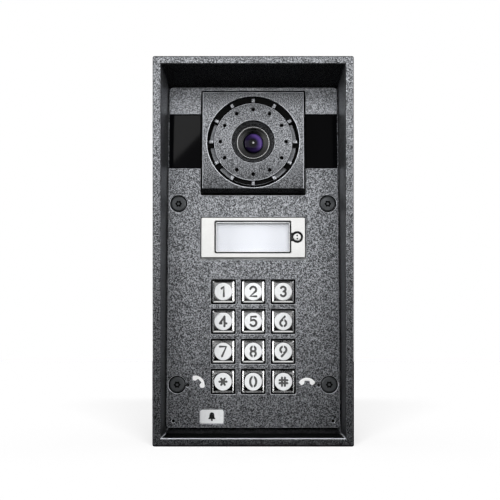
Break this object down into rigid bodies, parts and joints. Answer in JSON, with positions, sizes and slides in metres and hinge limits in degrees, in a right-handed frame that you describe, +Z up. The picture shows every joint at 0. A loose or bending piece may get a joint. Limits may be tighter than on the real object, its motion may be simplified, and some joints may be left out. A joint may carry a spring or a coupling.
{
  "type": "door intercom panel",
  "caption": "Wall-mounted door intercom with a deep sloping hood, a camera in a slotted round cover, a lit call key and a numeric keypad.",
  "frame": {"origin": "middle of the housing in the back mounting plane, at the wall", "axes": "+X to the right seen from the front, +Y into the wall, +Z up"},
  "size_m": [0.111, 0.083, 0.214],
  "materials": {
    "painted_aluminium": "fine-textured powder coat, dark grey",
    "rubber": "matt moulded rubber",
    "dark_plastic": "fine matt moulding",
    "white_plastic": "white, semi-gloss",
    "gloss_black": "polished smoked black",
    "circuit_board": "green solder mask",
    "zinc": "zinc-plated",
    "clear_plastic": "clear polished",
    "blackened_steel": "blackened stainless",
    "coated_glass": "violet anti-reflection coating",
    "cone_paper": "pressed paper cone",
    "silicone": "translucent white silicone",
    "bright_steel": "satin nickel",
    "paper": "plain white card",
    "terminal_plastic": "green moulded polyamide"
  },
  "bodies": {
    "root": {"housing": "painted_aluminium", "front_panel": "painted_aluminium", "top_plate": "painted_aluminium", "camera_bezel": "painted_aluminium", "camera_disc": "painted_aluminium", "wall_gasket": "rubber", "cable_grommet": "rubber", "panel_gasket": "rubber", "camera_gasket": "rubber", "front_chassis": "dark_plastic", "lens_barrel": "dark_plastic", "door_relay": "dark_plastic", "processor": "dark_plastic", "badge_plate": "white_plastic", "status_window_left": "gloss_black", "status_window_right": "gloss_black", "status_light_board_left": "circuit_board", "status_light_board_right": "circuit_board", "infrared_board": "circuit_board", "camera_board": "circuit_board", "keypad_board": "circuit_board", "main_board": "circuit_board", "microphone_left": "zinc", "microphone_right": "zinc", "speaker_frame": "zinc", "speaker_magnet": "zinc", "ethernet_jack": "zinc", "board_screw_1": "zinc", "board_screw_2": "zinc", "board_screw_3": "zinc", "board_screw_4": "zinc", "indicator_light_left": "clear_plastic", "indicator_light_right": "clear_plastic", "panel_screw_1": "blackened_steel", "panel_screw_2": "blackened_steel", "panel_screw_3": "blackened_steel", "panel_screw_4": "blackened_steel", "lens_ring": "blackened_steel", "lens_glass": "coated_glass", "speaker_cone": "cone_paper", "keypad_mat": "silicone", "terminal_block": "terminal_plastic"},
    "call_key": {"call_key_frame": "bright_steel", "call_key_carrier": "silicone", "name_card": "paper", "call_key_window": "clear_plastic", "call_key_screw": "bright_steel"},
    "key_1": {"key_1": "bright_steel"},
    "key_2": {"key_2": "bright_steel"},
    "key_3": {"key_3": "bright_steel"},
    "key_4": {"key_4": "bright_steel"},
    "key_5": {"key_5": "bright_steel"},
    "key_6": {"key_6": "bright_steel"},
    "key_7": {"key_7": "bright_steel"},
    "key_8": {"key_8": "bright_steel"},
    "key_9": {"key_9": "bright_steel"},
    "key_star": {"key_star": "bright_steel"},
    "key_0": {"key_0": "bright_steel"},
    "key_hash": {"key_hash": "bright_steel"}
  },
  "joints": [
    {"name": "call_key_press", "type": "slide", "parent": "root", "child": "call_key", "axis": [0, 1, 0], "range_m": [0, 0.001], "stiffness_N_per_m": 800, "springref_m": -0.001},
    {"name": "key_1_press", "type": "slide", "parent": "root", "child": "key_1", "axis": [0, 1, 0], "range_m": [0, 0.001], "stiffness_N_per_m": 400, "springref_m": -0.001},
    {"name": "key_2_press", "type": "slide", "parent": "root", "child": "key_2", "axis": [0, 1, 0], "range_m": [0, 0.001], "stiffness_N_per_m": 400, "springref_m": -0.001},
    {"name": "key_3_press", "type": "slide", "parent": "root", "child": "key_3", "axis": [0, 1, 0], "range_m": [0, 0.001], "stiffness_N_per_m": 400, "springref_m": -0.001},
    {"name": "key_4_press", "type": "slide", "parent": "root", "child": "key_4", "axis": [0, 1, 0], "range_m": [0, 0.001], "stiffness_N_per_m": 400, "springref_m": -0.001},
    {"name": "key_5_press", "type": "slide", "parent": "root", "child": "key_5", "axis": [0, 1, 0], "range_m": [0, 0.001], "stiffness_N_per_m": 400, "springref_m": -0.001},
    {"name": "key_6_press", "type": "slide", "parent": "root", "child": "key_6", "axis": [0, 1, 0], "range_m": [0, 0.001], "stiffness_N_per_m": 400, "springref_m": -0.001},
    {"name": "key_7_press", "type": "slide", "parent": "root", "child": "key_7", "axis": [0, 1, 0], "range_m": [0, 0.001], "stiffness_N_per_m": 400, "springref_m": -0.001},
    {"name": "key_8_press", "type": "slide", "parent": "root", "child": "key_8", "axis": [0, 1, 0], "range_m": [0, 0.001], "stiffness_N_per_m": 400, "springref_m": -0.001},
    {"name": "key_9_press", "type": "slide", "parent": "root", "child": "key_9", "axis": [0, 1, 0], "range_m": [0, 0.001], "stiffness_N_per_m": 400, "springref_m": -0.001},
    {"name": "key_star_press", "type": "slide", "parent": "root", "child": "key_star", "axis": [0, 1, 0], "range_m": [0, 0.001], "stiffness_N_per_m": 400, "springref_m": -0.001},
    {"name": "key_0_press", "type": "slide", "parent": "root", "child": "key_0", "axis": [0, 1, 0], "range_m": [0, 0.001], "stiffness_N_per_m": 400, "springref_m": -0.001},
    {"name": "key_hash_press", "type": "slide", "parent": "root", "child": "key_hash", "axis": [0, 1, 0], "range_m": [0, 0.001], "stiffness_N_per_m": 400, "springref_m": -0.001}
  ]
}
